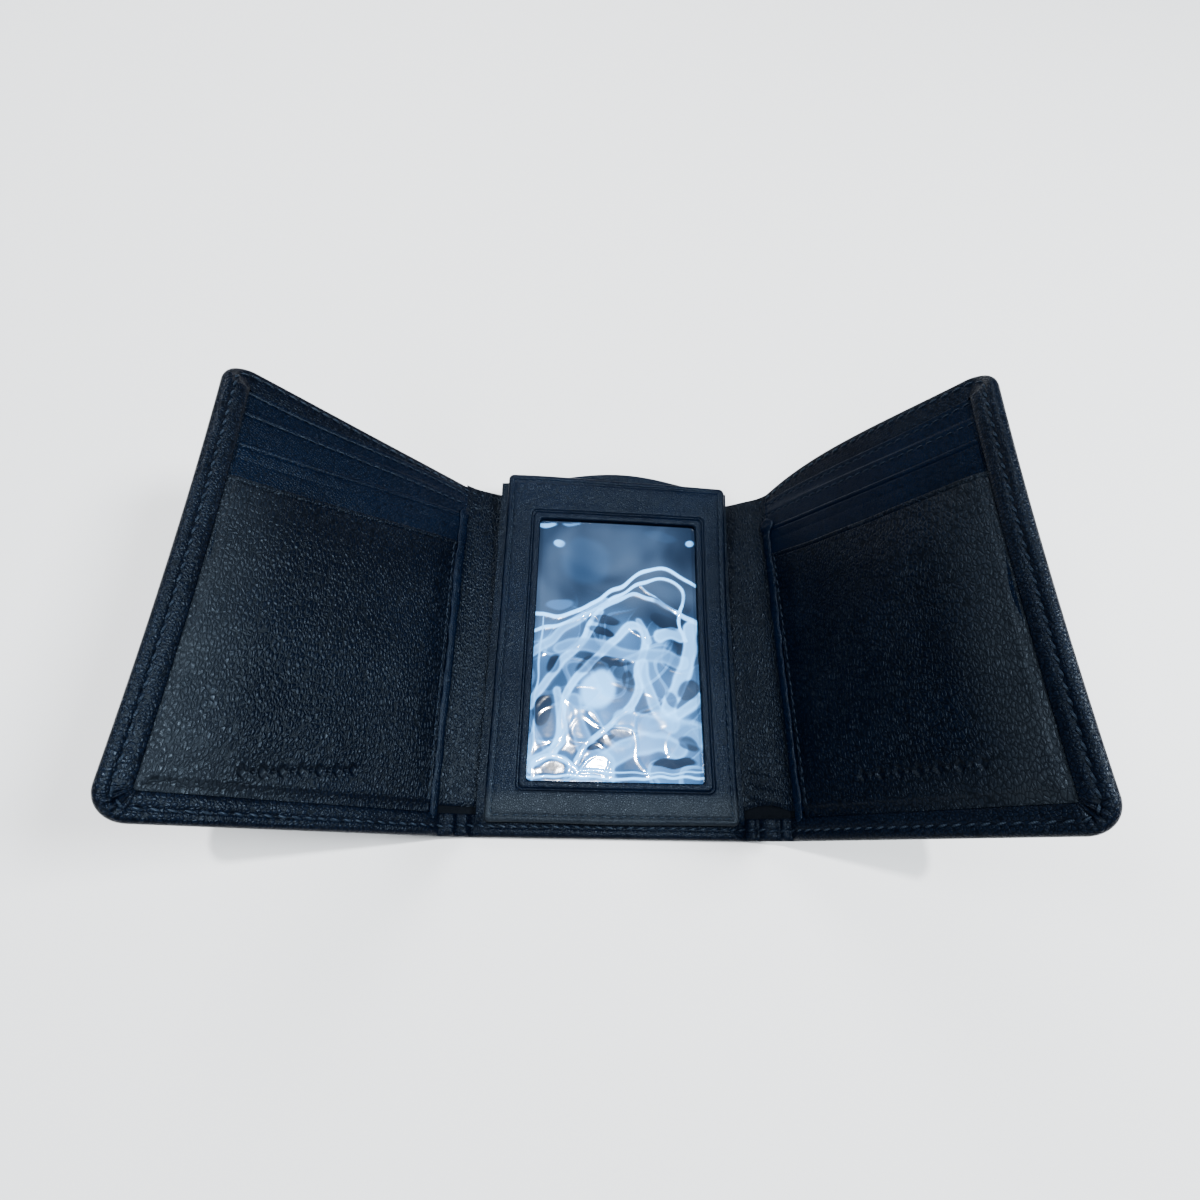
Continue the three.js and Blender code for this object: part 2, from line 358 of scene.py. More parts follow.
def leather(name, base, worn, roughness, grain_mm, depth, stretch=(1, 1, 1), marked=False):
    """Dyed leather: pebbles with painted shade in the creases between them, and fine pores.
    On marked leather, press says where a stamp flattens it, and the second attribute where a pale painted
    sheen lies on the high pebbles."""
    n = Nodes(name, base, roughness)
    n.shine(0.04)
    vector = warped(n, stretch, grain_mm)
    pebble = n.ramp(n.cells(1 / (grain_mm * MM), vector), -0.04, 0.36)
    small = n.ramp(n.cells(2.3 / (grain_mm * MM), vector), 0.0, 0.3)
    pores = n.noise(5 / (grain_mm * MM), 2)
    fine = n.math("ADD", n.math("MULTIPLY", small, 0.16), n.math("MULTIPLY", pores, 0.06))
    height = n.math("ADD", pebble, fine)
    patches = n.math("MULTIPLY", n.ramp(n.noise(45, 4), 0.35, 0.7), 0.55)
    # painted shade: the creases between the pebbles are coloured darker than the pebbles
    crease = tuple(0.35 * c for c in base)
    color = n.mix(n.ramp(pebble, 0.0, 0.6), crease, n.mix(patches, base, worn))
    if marked:
        height = n.math("MULTIPLY", height, n.math("SUBTRACT", 1.0, n.attribute("press")))
        # painted sheen: a pale colour laid on the high pebbles, as strong as the mesh attribute asks
        high = n.math("MULTIPLY", n.attribute("painted_sheen"), n.ramp(pebble, 0.0, 0.7, 0.35, 1.0))
        color = n.mix(high, color, PAINTED_SHEEN_COLOUR)
    gloss = n.math("ADD", n.ramp(pebble, 0.0, 1.0, roughness + 0.10, roughness - 0.03),
                   n.math("MULTIPLY", n.noise(120), 0.05))
    wide = n.bump(n.noise(160), 0.25, 0.5)
    return n.finish(color, n.bump(height, depth, Normal=wide), gloss)


def woven(name, base, light, thread_mm):
    n = Nodes(name, base, 0.85)
    n.shine(0.04)
    scale = 0.314 / (thread_mm * MM)
    weave = n.math("MAXIMUM", *(n.bands(d, scale, Distortion=0.6, Detail=1) for d in ("X", "Y")))
    return n.finish(n.mix(n.ramp(weave, 0.4, 1.0), base, light), n.bump(weave, 0.08))


def sewing_thread(name, base, light):
    n = Nodes(name, base, 0.5)
    n.shine(0.12)
    plies = n.bands("DIAGONAL", 900, Distortion=0.8)
    roughness = n.ramp(n.noise(300, 2), 0.3, 0.7, 0.42, 0.6)
    return n.finish(n.mix(plies, base, light), n.bump(plies, 0.06), roughness)


def window_vinyl(name):
    """Clear wrinkled vinyl. Its attribute says how pale it is: low is clear, high is a pale fold, partly
    milky vinyl and partly painted highlight on the wrinkles.
    """
    n = Nodes(name, (0.5, 0.66, 0.9), 0.08)
    for socket, value in (("IOR", 1.5), ("Coat Weight", 0.35), ("Coat Roughness", 0.04)):
        n.shader.inputs[socket].default_value = value
    milk_and_glint = n.attribute("milk_and_glint")
    cloud = n.noise(40, 2, 0.4)
    clear = n.mix(n.ramp(cloud, 0.35, 0.7), (0.006, 0.012, 0.026), (0.03, 0.054, 0.1))
    # pale folds: milky vinyl and painted highlight together
    pale = n.mix(n.ramp(milk_and_glint, 0.3, 1.0), (0.028, 0.085, 0.20), (0.145, 0.44, 0.86))
    n.feed(n.shader.inputs["Alpha"], n.ramp(milk_and_glint, 0.0, 0.6, 0.45, 0.97))
    color = n.mix(n.ramp(milk_and_glint, 0.02, 0.5), clear, pale)
    return n.finish(color, n.bump(n.noise(110), 0.16, 0.5), n.ramp(cloud, 0.3, 0.8, 0.06, 0.14))


SMOOTH = leather("smooth_leather", (0.0003, 0.0012, 0.0042), (0.0009, 0.0030, 0.0092), 0.23, 0.62, 0.040,
                 marked=True)
SHELL = leather("shell_leather", (0.0005, 0.0011, 0.0032), (0.0018, 0.0034, 0.0074), 0.25, 0.8, 0.065)
GRAINED = leather("grained_leather", (0.0003, 0.0008, 0.0025), (0.0009, 0.0020, 0.0052), 0.25, 1.05, 0.10,
                  stretch=(1.5, 0.7, 1.3), marked=True)
LINING = woven("lining_cloth", (0.0005, 0.0006, 0.0010), (0.0010, 0.0013, 0.0021), 0.28)
CARD_CLOTH = woven("backing_cloth", (0.0010, 0.0018, 0.0045), (0.0028, 0.005, 0.010), 0.3)
THREAD = sewing_thread("sewing_thread", (0.0008, 0.0020, 0.0046), (0.0040, 0.0070, 0.0130))
VINYL = window_vinyl("window_vinyl")


# ---- back leather and its turned edges

def hem_height(side, s):
    """Upper face of the bottom hem: high over the panels, low and puckered over the spine."""
    low = smooth((side.spine / 2 + 4 - np.abs(s - side.split)) / 4)
    t = (s - side.fold) / side.spine
    pucker = sum(height * bump(t, place, width) for place, width, height in PUCKERS[side.name])
    return HEM_TOP + (SPINE_HEM_TOP - HEM_TOP) * low + pucker * low


LIP_LINES = np.array([1.7, 2.1, 2.4, 2.7, 3.0, 3.5, 4.3, 5.1, 5.7, 6.0])  # insets across the hem
TOP_LINES = np.array([1.3, 1.45, 1.6, 1.8, 2.0, 2.4, 4.0, 6.0, 7.7, 8.0])  # insets across the top hem
LIP_SHAPE = np.array([0.02, -0.02, -0.18, -0.32, -0.18, 0.02, 0.05, -0.04, -0.2, -0.42])
ARC_STEPS = 9  # points round the rolled edge
LIP_SEAM = ARC_STEPS + 3  # the lowest point of the lip, where the wing's seam and the top seam run
MIDDLE_SEAM = LIP_SEAM + 1  # the bottom seam of the middle runs a little further in


def edge_profile(top, up):
    """Insets and heights of a turned edge's outer and inner face, from the back leather round to the end of
    the lip. up is 0 for the bottom hem and 1 for the hem at the open top."""
    top, up = top[:, None], up[:, None]
    angle = np.linspace(-pi / 2, pi / 2, ARC_STEPS)
    middle, half = (top + BACK) / 2, (top - BACK) / 2
    lip_d = LIP_LINES * (1 - up) + TOP_LINES * up
    lip_h = top + LIP_SHAPE * (1 - 0.6 * up)
    outer_d = np.hstack([ROLL * (1 - np.cos(angle)) + 0 * top, lip_d])
    outer_h = np.hstack([middle + half * np.sin(angle), lip_h])
    inner_half = np.maximum(half - HEM_LEATHER, 0.03)
    inner_d = np.hstack([ROLL - (ROLL - HEM_LEATHER) * np.cos(angle) + 0 * top, lip_d])
    inner_h = np.hstack([middle + inner_half * np.sin(angle), lip_h - HEM_LEATHER])
    return (outer_d, outer_h), (inner_d, inner_h)


PLATE_LOW, PLATE_HIGH = -HALF + ROLL, HALF - ROLL
CORNER_STEPS, STRAIGHT_STEPS = 33, 44


def corner_rows():
    """Rows of the back leather: close together where the outer corners curve."""
    radius = CORNER - ROLL
    turn = np.linspace(0, pi / 2, CORNER_STEPS)
    low = PLATE_LOW + radius - radius * np.cos(turn)
    straight = np.linspace(low[-1], -low[-1], STRAIGHT_STEPS + 2)[1:-1]
    return np.hstack([low, straight, -low[::-1]])


def waist(y):
    return WAIST * (1 - (y / HALF) ** 2)


def row_reach(side, y):
    """How far out each row of a wing's back leather goes."""
    radius = CORNER - ROLL
    beyond = np.clip(np.abs(y) - (PLATE_HIGH - radius), 0, radius)
    return side.second + (side.wing - ROLL - radius + np.sqrt(radius ** 2 - beyond ** 2) - waist(y))


def bill_gap(side, s, y):
    """How far the back leather stands off where the bill compartment gapes at the open top."""
    across = np.sin(pi * np.clip((s - side.second + 1) / (side.wing - 8), 0, 1)) ** 2
    return TOP_GAPE[side.name] * smooth((y - 5) / (HALF - 5)) ** 1.5 * across


def bowed(side, points):
    s, y = points[..., 0], points[..., 1]
    across = np.clip((s - side.second) / side.wing * 1.05, 0, 1)
    rise = TOP_BOW[side.name] * np.sin(pi * across ** 0.7) ** 1.3
    points[..., 1] = y + rise * smooth((y - 20) / (HALF - 20))
    return points


def back_face(side, s, y):
    """How far the back leather's faces lie above their level."""
    uneven = 0.08 * (1 + np.clip(ripple(s * side.sign, y, 3, 40), -1, 1))
    return uneven * smooth((HALF - np.abs(y)) / 12) - bill_gap(side, s, y)


def plate(side, s, y, level):
    return bowed(side, flat_grid(s, y, level + back_face(side, s, y)))


def rolled(side, s, y, normal, top, up, wave):
    """Points of both faces of a turned edge that starts at the rim points (s, y)."""
    faces = []
    for d, h in edge_profile(top, up):
        out = ROLL - d
        points = flat_grid(s[:, None] + normal[:, :1] * out, y[:, None] + normal[:, 1:] * out, h)
        swell = smooth((d - 0.6) / 1.4) * (1 - 0.85 * smooth((d - 3.4) / 2.4))
        points[..., 2] += wave[:, None] * swell + back_face(side, s, y)[:, None]
        faces.append(bowed(side, points))
    return faces


def half_columns(side):
    return spaced(0, side.split, 1.6, [(side.fold - 6, side.split)], 0.5)


def half_edges(side):
    """The back leather's bottom and top edge, from the middle line to mid spine."""
    s = half_columns(side)
    upward = np.array([[0, 1]])
    wave = 0.13 * ripple(s * side.sign, 0, 11, 9)
    return (rolled(side, s, 0 * s + PLATE_LOW, -upward, hem_height(side, s), 0 * s, wave),
            rolled(side, s, 0 * s + PLATE_HIGH, upward, 0 * s + TOP_HEM_FACE, 0 * s + 1, 0 * s))


def half_shell(side):
    """Back leather from the middle line to mid spine, with its bottom and top edge."""
    s, y = half_columns(side)[:, None], corner_rows()
    surface, faces = Surface(), []
    for level, low, high in zip((BACK, BACK_INNER), *half_edges(side)):
        strip = np.hstack([low[:, :0:-1], plate(side, s, y, level), high[:, 1:]])
        faces.append(surface.grid(side.place(strip)))
    close_ends(surface, *faces)
    return bend(side, surface.mesh(f"back_leather_{side.name}", SHELL, 60), FIRST)


def wing_columns(side):
    span = side.second + side.wing - side.split
    return spaced(0, span, 1.7, [(0, 8), (span - 9, span)], 0.6) / span


def wing_rim(side):
    """Places round a wing's flat back, from mid spine past both outer corners to mid spine, and the direction
    in which its edge faces at each: -90 degrees at the bottom, 90 at the top."""
    y, columns = corner_rows(), wing_columns(side)
    reach = row_reach(side, y)
    bottom, top = (side.split + (end - side.split) * columns for end in (reach[0], reach[-1]))
    straight, quarter = np.full(len(columns), pi / 2), np.linspace(0, pi / 2, CORNER_STEPS)
    turn = [-straight, -quarter[-2::-1], np.zeros(STRAIGHT_STEPS), quarter[:-1], straight]
    return (np.hstack([bottom, reach[1:-1], top[::-1]]),
            np.hstack([0 * bottom + y[0], y[1:-1], 0 * top + y[-1]]), np.hstack(turn))


def wing_edge(side):
    """A wing's turned edge: the gathered bottom hem gives way to the flat top hem at the side."""
    s, y, turn = wing_rim(side)
    normal = np.stack([np.cos(turn), np.sin(turn)], axis=1)
    up = smooth((turn + 0.1) / 1.4)
    top = hem_height(side, s) * (1 - up) + TOP_HEM_FACE * up
    pleat = PLEAT_HEIGHT * bump(turn, -pi / 4, 0.55) * np.cos(turn * 4 * PLEATS)
    return rolled(side, s, y, normal, top, up, 0.13 * ripple(s * side.sign, y, 17, 9) * (1 - up) + pleat)


def wing_shell(side):
    """Back leather of a wing, from mid spine, in one piece with its turned edges."""
    y = corner_rows()
    reach = row_reach(side, y)
    s = side.split + (reach - side.split) * wing_columns(side)[:, None]
    rim_s, rim_y, _ = wing_rim(side)
    surface, plates, sweeps = Surface(), [], []
    for level, sweep in zip((BACK, BACK_INNER), wing_edge(side)):
        sweep[:, 0] = plate(side, rim_s, rim_y, level)
        plates.append(surface.grid(side.place(plate(side, s, y, level))))
        sweeps.append(surface.grid(side.place(sweep)))
    close_ends(surface, *plates, ((0, ALL),))
    close_ends(surface, *sweeps, ((0, ALL), (-1, ALL), (ALL, -1)))
    return bend(side, surface.mesh(f"back_leather_wing_{side.name}", SHELL, 60), SECOND)


def bend(side, obj, fold):
    """Bakes obj's transform into its mesh. It works out the fold's span and the bodies before and after it,
    but neither bends obj nor ties it to them.
    """
    axis, a, b = ((side.fold, "middle", side.body("spine")),
                  (side.second, side.body("spine"), side.body("wing")))[fold]
    start, end = (Vector(side.place(np.array([axis + k * BLEND_REACH, 0.0, 0.0]))) for k in (-1, 1))
    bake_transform(obj)
    return obj


# ---- lining and gussets

def crossing_sheet(side, name, start, end, edges, low, thick, material, step):
    """A sheet across both folds, in two meshes that meet in mid spine. edges(s) gives its bottom and top
    edge, and low(s, y) its underside. Returns the meshes with their flat sizes."""
    made = []
    for part, a, b, fold in (("", start, side.split, FIRST), ("_wing", side.split, end, SECOND)):
        s = spaced(a, b, step, [(side.fold - 6, side.second + 6)], 0.6)[:, None]
        rows = spaced(0, 1, 0.02, [(0, 0.12), (0.9, 1)], 0.008)
        bottom, top = edges(s)
        y = bottom + (top - bottom) * rows
        under = low(s, y)
        upper = under + thick * (0.45 + 0.55 * rounded(np.minimum(y - bottom, top - y), 0.35))
        grids = [side.place(flat_grid(s, y, h)) for h in (under, upper)]
        obj = bend(side, slab(f"{name}{part}_{side.name}", *grids, material), fold)
        made.append((obj, b - a, np.mean(top - bottom)))
    return made


def build_lining(side):
    """One side of the cloth that lines the bill compartment, stretched over the back leather."""
    def edges(s):
        return 0 * s - 50.5, 0 * s + HALF - 2.6

    def low(s, y):
        return BACK_INNER + 0.1 + 0.05 * ripple(s * side.sign, y, 5, 26) + back_face(side, s, y)

    end = side.second + side.wing - 3.0
    made = crossing_sheet(side, "lining_cloth", 0, end, edges, low, 0.22, LINING, 2.2)
    nodes = (("bill_lining_middle", f"bill_lining_spine_{side.name}"), (f"bill_lining_wing_{side.name}",))
    for (obj, width, length), replaced in zip(made, nodes):
        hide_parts(*replaced)


# Drag folds of the right gusset: place up its middle, height.
GUSSET_FOLDS = {"left": (), "right": ((-34, 0.35), (-37.5, 0.5), (-41.5, 0.4))}
GUSSET_ARCH = {"left": 0, "right": 1.6}  # how far its bottom edge arches up
GUSSET_LOW, GUSSET_HIGH, GUSSET_LEVEL = -46.8, 55.2, 0.66


def build_gusset(side):
    """The soft side wall of the bill compartment, over the spine."""
    def spread(s):
        across = np.clip((s - side.fold) / side.spine, 0, 1)
        return across, np.sin(pi * across)

    def edges(s):
        return GUSSET_LOW + GUSSET_ARCH[side.name] * spread(s)[1], GUSSET_HIGH + 0 * s

    def low(s, y):
        across, middle = spread(s)
        sag = 0.12 * ripple(s * side.sign, y * 0.45, 23, 11)
        slanted = y + 0.28 * (s - side.fold)
        crease = sum(height * bump(slanted, at, 0.9) for at, height in GUSSET_FOLDS[side.name])
        turned = 0.14 * smooth((y - 47.5) / 0.8)
        return GUSSET_LEVEL - 0.08 * across + 0.18 * middle ** 2 + (sag + crease) * middle + turned

    made = crossing_sheet(side, "gusset_leather", side.fold - 2.4, side.second + 2.6, edges, low, 0.45,
                          GRAINED, 0.6)
    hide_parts(f"gusset_{side.name}")


# ---- card pockets on the wings

# A sheet on a wing, laid flat: its hinge edge from the second fold, how far it ends before the wing's edge,
# its bottom edge, the level of its underside, and its thickness.
Layer = namedtuple("Layer", "hinge inset bottom level thick")
PANEL = Layer(2.0, 3.5, -50.6, 1.15, 0.42)
STRIP = Layer(3.2, 6.6, -47.2, 1.92, 0.4)
POCKET = Layer(4.6, 5.3, -48.7, 2.38, 0.42)

# Their top edges, and the seam across the panel, through (u, y) points; u runs from the second fold.
PANEL_TOP = ([0, 27, 55, 73], [52.0, 51.4, 49.0, 48.9])
SEAM_LINE = ([0, 18, 47, 68, 73], [48.9, 47.5, 44.6, 42.4, 42.0])
STRIP_TOP = {"left": ([0, 3, 69, 73], [43.4, 43.1, 33.0, 32.6]), "right": ([0, 11, 73], [42.4, 41.2, 35.6])}
POCKET_TOP = {"left": ([0, 5.7, 30, 68, 73], [32.9, 32.2, 28.8, 23.2, 22.8]),
              "right": ([0, 4.6, 21, 51, 66, 73], [32.6, 32.1, 29.7, 28.0, 26.6, 26.2])}
MARKS = {"left": ((25.5, -40.2), (51.5, -43.6)), "right": ((23.5, -39.6), (53.5, -39.9))}  # border ends
TOP_CREASE = 1.5  # distance of the pressed line from a top edge
PANEL_SEAM, POCKET_SEAM = 1.6, 1.3  # distance of the stitches from the seam line and the hinge edge

# Grid lines close to a top edge and to a hinge edge.
NEAR_TOP = np.array([0, 0.05, 0.15, 0.3, 0.5, 0.8, 1.1, 1.3, 1.5, 1.7, 1.95, 2.3,
                     3.2, 4.3, 4.7, 4.9, 5.1, 5.5])
NEAR_HINGE = np.array([0.05, 0.15, 0.3, 0.6, 1, 1.3, 1.6, 2])
LINES_END = 100  # the rows below are laid out up to here and then fitted under the top edge


def along(line):
    """Smooth height of an edge drawn through a few (u, y) points."""
    xs, ys = (np.array(v, float) for v in line)
    fit = np.polyfit(xs, ys, min(3, len(xs) - 1))
    return lambda u: np.polyval(fit, u)


def layer_grid(side, layer, top, lean=0.0, fine_u=(), fine_y=()):
    """Places of a layer, and their distances from its top, hinge and outer edge."""
    width, hinge = side.wing - layer.inset, layer.hinge
    columns = spaced(hinge, width, 1.3, [*fine_u, (width - 5, width)])
    near = hinge + NEAR_HINGE
    columns = np.sort(np.hstack([columns[columns > near[-1] + 0.1], near, columns[:1]]))
    share = (columns - hinge) / (width - hinge)
    edge_y = top(columns)
    rest = edge_y - NEAR_TOP[-1]
    bottom = layer.bottom
    lines = spaced(bottom, LINES_END, 1.3, [*fine_y, (bottom, bottom + 5)])
    scale = (lines - bottom) / (LINES_END - bottom)
    count = np.searchsorted(lines, rest.mean())
    body = bottom + (rest[:, None] - bottom) * (scale[:count] / scale[count])
    y = np.hstack([body, edge_y[:, None] - NEAR_TOP[::-1]])
    start, end = hinge + lean * y / HALF, width - waist(y)
    u = start + (end - start) * share[:, None]
    return side.second + u, y, edge_y[:, None] - y, u - start, end - u


def wing_piece(side, name, material, layer, grid, shape, tucked=0.0, looks=()):
    """A layer as a closed sheet that rides on the wing. Its upper face adds shape to its thickness."""
    s, y, top_gap, hinge_gap, _ = grid
    under = layer.level + tucked + 0 * s
    upper = under + layer.thick * (0.3 + 0.7 * rounded(top_gap) * rounded(hinge_gap)) + shape
    faces = [side.place(flat_grid(s, y, h)) for h in (under, upper)]
    obj = slab(f"{name}_leather_{side.name}", *faces, material, looks)
    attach(obj, side.body("wing"))
    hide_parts(f"{name}_{side.name}")


def groove(distance, at, width=0.22, depth=0.16):
    return -depth * bump(distance, at, width)


def stamped_row(u, y, start, end):
    """How far each place is pressed in, 0 to 1, by a plain border of lozenges and dots."""
    start, end = np.array(start), np.array(end)
    length = np.linalg.norm(end - start)
    ahead = (end - start) / length
    t = (u - start[0]) * ahead[0] + (y - start[1]) * ahead[1]
    v = (y - start[1]) * ahead[0] - (u - start[0]) * ahead[1]
    pitch = length / MARK_COUNT
    which = np.floor(t / pitch)
    a = t - (which + 0.5) * pitch
    lozenge = smooth((1 - np.abs(a) / 1.35 - np.abs(v) / 1.9) / 0.35)
    dot = smooth((0.62 - np.hypot(a, v)) / 0.3)
    return np.where((t > 0) & (t < length), np.where(which % 2 == 0, lozenge, dot), 0)


def build_inner_panel(side):
    """The panel under the card slots, double down to the seam of its top hem."""
    grid = layer_grid(side, PANEL, along(PANEL_TOP), fine_y=[(40, 50)])
    s, y, top_gap, hinge_gap, _ = grid
    below_seam = along(SEAM_LINE)(s - side.second) - y
    shape = (groove(top_gap, TOP_CREASE) + 0.28 * smooth((below_seam + 0.2) / 0.4) * smooth((y + 20) / 30)
             + groove(below_seam, PANEL_SEAM) + groove(hinge_gap, 1.2, depth=0.1)
             + 0.1 * ripple(s * side.sign, y, 31, 30) * smooth((y + 52) / 8))
    wing_piece(side, "inner_panel", SMOOTH, PANEL, grid, shape)


def build_slot_strip(side):
    grid = layer_grid(side, STRIP, along(STRIP_TOP[side.name]))
    s, y, top_gap, _, _ = grid
    shape = (groove(top_gap, TOP_CREASE) + groove(top_gap, 4.9, 0.3, 0.05) + 0.12 * bump(top_gap, 0.7, 0.5)
             + 0.16 * ripple(s * side.sign, y, 37, 24) * smooth((y + 46) / 12))
    wing_piece(side, "slot_strip", SMOOTH, STRIP, grid, shape)


def build_front_pocket(side):
    """The pebbled front pocket: padded, tucked down at its edges, stamped, and with a painted sheen towards
    its outer and bottom edges.
    """
    start, end = MARKS[side.name]
    fine_u = [(start[0] - 1, end[0] + 1)]
    fine_y = [(min(start[1], end[1]) - 2.5, max(start[1], end[1]) + 2.5)]
    grid = layer_grid(side, POCKET, along(POCKET_TOP[side.name]), POCKET_LEAN[side.name], fine_u, fine_y)
    s, y, top_gap, hinge_gap, outer_gap = grid
    bottom_gap = y - POCKET.bottom
    edge = np.minimum(outer_gap, bottom_gap)
    tucked = -0.55 * (1 - smooth((edge - 0.7) / 2.6))
    pressed = stamped_row(s - side.second, y, start, end)
    pillow = 0.75 * smooth(edge / 17) * smooth(top_gap / 18 + 0.2) * smooth(hinge_gap / 8)
    shape = (pillow + groove(top_gap, TOP_CREASE) + 0.14 * bump(top_gap, 0.7, 0.5)
             + groove(hinge_gap, POCKET_SEAM) - MARK_DEPTH * pressed + groove(edge, 2.2, 0.4, 0.1)
             + 0.2 * ripple(s * side.sign, y, 41, 22) * smooth(edge / 6))
    # painted sheen: pale towards the outer edge and along the bottom, a little patchy
    outer_sheen = (1 - smooth(outer_gap / 19)) * (0.5 + 0.5 * smooth((34 - y) / 60))
    low_sheen = 0.5 * (1 - smooth(bottom_gap / 15)) * (1 - smooth((outer_gap - 12) / 34))
    patchy = 0.85 + 0.15 * ripple(s * side.sign, y, 43, 14)
    looks = {"press": pressed, "painted_sheen": np.clip(outer_sheen + low_sheen, 0, 1) * patchy}
    wing_piece(side, "front_pocket", GRAINED, POCKET, grid, shape, tucked, looks)


def build_binding(side):
    """The strip that closes the pockets at the hinge side. The right one is puckered and ends in a tab."""
    y = spaced(-50.4, 45, 0.7)[:, None]
    puckered = side.name == "right"
    tab = smooth((y - 39) / 3) * puckered
    centre = 3.3 + POCKET_LEAN[side.name] * 0.6 * y / HALF + 0.22 * ripple(y, 0, 47, 12) + 0.5 * tab
    half_width = 1.35 + 0.25 * ripple(y, 0, 53, 7) + 0.35 * smooth((y + 10) / 50) + 1.1 * tab
    half_width *= np.clip((y - y[0]) / 1.2, 0.3, 1) * np.clip((y[-1] - y) / 1.5, 0.3, 1)
    pucker = 0.14 * np.sin(y * 2 * pi / 3.1 + 0.6 * np.sin(y)) * puckered
    height = 0.55 + 0.1 * ripple(y, 0, 59, 5) + pucker
    turn = np.linspace(0, 2 * pi, 15)[:-1]
    across, up = (np.sign(v) * np.abs(v) ** power for v, power in ((np.cos(turn), 0.7), (np.sin(turn), 0.8)))
    level = 2.35 + 0.35 * smooth((y + 52) / 10)
    points = flat_grid(side.second + centre + across * half_width, y, level + up * height)
    surface = Surface()
    surface.tube(side.place(points))
    obj = surface.mesh(f"binding_leather_{side.name}", SMOOTH)
    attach(obj, side.body("wing"))
    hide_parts(f"hinge_binding_{side.name}")


# ---- identity card pocket in the middle

FRAME_LEFT, FRAME_RIGHT, FRAME_LOW, FRAME_HIGH = -36.0, 35.2, -51.0, 56.6
OPEN_LEFT, OPEN_RIGHT, OPEN_LOW, OPEN_HIGH = -25.0, 25.6, -39.7, 42.5
FRAME_LEAN = 0.5  # the right edge leans outwards towards the top
FRAME_FACE = 6.0  # levels of the frame's face and of the sheets under it
VINYL_LEVEL, CARD_LEVEL, WALL_LEVEL = 4.4, 3.65, 2.35


def lift(x, y):
    """How far the open top of the bill compartment stands up."""
    rise = 5.3 * np.clip((y + 5) / 60, 0, 1.1) ** 2
    return rise * (1 - 0.12 * np.clip(np.abs(x) / 38, 0, 1) ** 2)


def flat_squash(obj):
    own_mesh(obj)
    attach(obj, "middle")


ARC_POINTS, SIDE_POINTS = 7, (90, 60)  # points on a corner, and between corners


def round_rectangle(left, right, low, high, radius):
    """Points round a rectangle from its lower right corner, the same count for every radius."""
    corners = ((right - radius, low + radius, -90), (right - radius, high - radius, 0),
               (left + radius, high - radius, 90), (left + radius, low + radius, 180))
    arcs = []
    for x, y, angle in corners:
        turn = np.radians(angle + np.linspace(0, 90, ARC_POINTS))
        arcs.append(np.stack([x + radius * np.cos(turn), y + radius * np.sin(turn)], axis=1))
    points = []
    for k, arc in enumerate(arcs):
        towards = arcs[(k + 1) % 4][0] - arc[-1]
        points += [arc, arc[-1] + towards * np.linspace(0, 1, SIDE_POINTS[k % 2] + 2)[1:-1, None]]
    return np.vstack(points)


# Section of the frame, (distance, height over its face): outwards from the opening, then from the outside in.
FROM_OPENING = ((0, -1.55), (0, -1.25), (0.02, -0.5), (0.12, -0.12), (0.4, 0.02), (0.9, 0.05),
                (1.6, 0.04), (1.9, 0), (2.1, -0.26), (2.3, 0), (2.6, 0.02), (2.8, -0.24), (3, 0.04),
                (3.6, 0.06), (4.6, 0.04), (6, 0.02))
FROM_OUTSIDE = ((4, 0.02), (2.7, 0), (2.3, -0.06), (2.05, -0.24), (1.8, -0.24), (1.55, -0.06),
                (1.25, 0.03), (0.8, 0), (0.35, -0.2), (0.1, -0.55), (0, -1.1), (0.05, -1.7), (0.3, -2.1),
                (3, -2.1), (6, -1.75), (9, -1.6))


def build_id_frame():
    """The leather window frame: a closed section carried round the opening."""
    columns = [round_rectangle(OPEN_LEFT - d, OPEN_RIGHT + d, OPEN_LOW - d, OPEN_HIGH + d, 1.2 + 0.1 * d)
               for d, _ in FROM_OPENING]
    columns += [round_rectangle(FRAME_LEFT + d, FRAME_RIGHT - d, FRAME_LOW + d, FRAME_HIGH - d,
                                max(1.7 - 0.7 * d, 0.5)) for d, _ in FROM_OUTSIDE]
    heights = np.array([h for _, h in FROM_OPENING + FROM_OUTSIDE])
    points = np.zeros((len(columns[0]), len(columns), 3))
    points[..., :2] = np.stack(columns, axis=1)
    points[..., 2] = FRAME_FACE + heights
    x, y, z = (points[..., c] for c in range(3))  # views, so each line below sees the last
    share = smooth(np.arange(len(columns)) / len(columns) * 1.6 - 0.4)
    lean = np.where(x > 0, FRAME_LEAN * y / HALF, 0)
    x += share * (lean * smooth((x - 20) / 10) + 0.15 * ripple(y, 0, 61, 30))
    y += share * 0.25 * ripple(x, 0, 62, 30)
    y += share * smooth((y - 45) / 10) * (0.4 - 0.02 * x)
    z += lift(x, y) + 0.16 * ripple(x, y, 67, 24) * smooth((z - FRAME_FACE + 0.8) / 0.5)
    surface = Surface()
    surface.grid(flat_middle(points), wrap=(True, True))
    # painted sheen along the frame's bottom bar
    painted_sheen = 1.15 * smooth((OPEN_LOW - 1.5 - y) / 4.5) * (0.85 + 0.15 * ripple(x, y, 127, 12))
    obj = surface.mesh("window_frame", SMOOTH, 55, {"painted_sheen": painted_sheen.ravel()})
    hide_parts("id_frame")
    flat_squash(obj)
